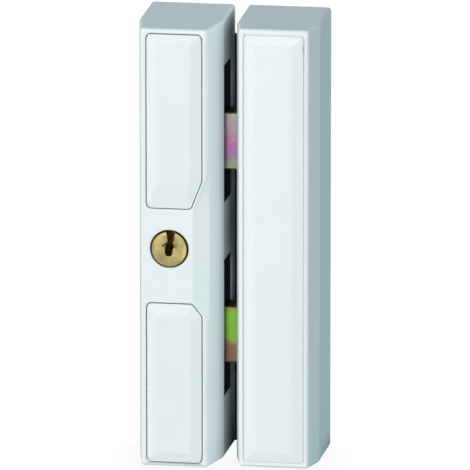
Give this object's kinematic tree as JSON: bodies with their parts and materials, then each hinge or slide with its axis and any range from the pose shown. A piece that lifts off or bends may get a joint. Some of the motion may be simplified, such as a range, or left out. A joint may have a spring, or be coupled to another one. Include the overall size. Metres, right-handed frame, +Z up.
{
  "type": "keyed window lock",
  "caption": "Surface-mounted keyed window lock: tall lock case with key cylinder and swing bolts that enter a matching strike case.",
  "frame": {"origin": "on the mounting plane, midway across the lock case, level with the key cylinder's axis", "axes": "+X from the lock towards the strike, -Y out of the wall towards the room, +Z up"},
  "size_m": [0.0611, 0.0393, 0.1518],
  "materials": {
    "white_case": "white powder coat on die-cast zinc, satin",
    "white_cap": "white moulded plastic, fine matt texture",
    "brass": "satin turned brass",
    "yellow_zinc": "yellow chromated zinc with iridescent patches",
    "zinc_steel": "bright zinc plate",
    "screw_steel": "zinc plated, machined",
    "spring_steel": "dark spring steel"
  },
  "bodies": {
    "lock_body": {"lock_case": "white_case", "lock_back_plate": "zinc_steel", "back_plate_screws": "screw_steel", "cylinder_housing": "brass", "driver_pins": "brass", "pin_springs": "spring_steel", "pin_chamber_cover": "spring_steel", "cylinder_screws": "screw_steel", "pivot_pins": "screw_steel", "pivot_washers": "zinc_steel", "pivot_clips": "spring_steel"},
    "key_drive": {"cylinder_plug": "brass", "key_pins": "brass", "plug_clip": "spring_steel", "drive_crank": "zinc_steel", "crank_screw": "screw_steel", "crank_pin": "screw_steel", "crank_pin_clip": "spring_steel"},
    "link": {"link_bar": "zinc_steel"},
    "upper_swing": {"upper_bolt": "yellow_zinc", "upper_bolt_pin": "screw_steel", "upper_bolt_pin_clip": "spring_steel"},
    "lower_swing": {"lower_bolt": "yellow_zinc", "lower_bolt_pin": "screw_steel", "lower_bolt_pin_clip": "spring_steel"},
    "upper_screw_cap": {"upper_cap": "white_cap"},
    "lower_screw_cap": {"lower_cap": "white_cap"},
    "strike": {"strike_cover": "white_case", "strike_keep": "zinc_steel"}
  },
  "joints": [
    {"name": "upper_bolt_swing", "type": "hinge", "parent": "lock_body", "child": "upper_swing", "pos_m": [0.002, 0, 0.03335], "axis": [0, -1, 0], "range_deg": [0, 90]},
    {"name": "link_turn", "type": "hinge", "parent": "upper_swing", "child": "link", "pos_m": [-0.00295, 0, 0.0383], "axis": [0, -1, 0], "range_deg": [-90, 0]},
    {"name": "key_turn", "type": "hinge", "parent": "lock_body", "child": "key_drive", "pos_m": [-0.00195, 0, 0], "axis": [0, -1, 0], "range_deg": [0, 90]},
    {"name": "lower_bolt_swing", "type": "hinge", "parent": "lock_body", "child": "lower_swing", "pos_m": [0.002, 0, -0.03335], "axis": [0, -1, 0], "range_deg": [0, 90]},
    {"name": "upper_cap_lift", "type": "slide", "parent": "lock_body", "child": "upper_screw_cap", "axis": [0, -1, 0], "range_m": [0, 0.02]},
    {"name": "lower_cap_lift", "type": "slide", "parent": "lock_body", "child": "lower_screw_cap", "axis": [0, -1, 0], "range_m": [0, 0.02]},
    {"name": "strike_part", "type": "slide", "parent": "lock_body", "child": "strike", "axis": [1, 0, 0], "range_m": [0, 0.04]}
  ],
  "couplings": [
    {"joint": "link_turn", "follows": "upper_bolt_swing", "ratio": -1},
    {"joint": "key_turn", "follows": "upper_bolt_swing", "ratio": 1},
    {"joint": "lower_bolt_swing", "follows": "upper_bolt_swing", "ratio": 1}
  ]
}
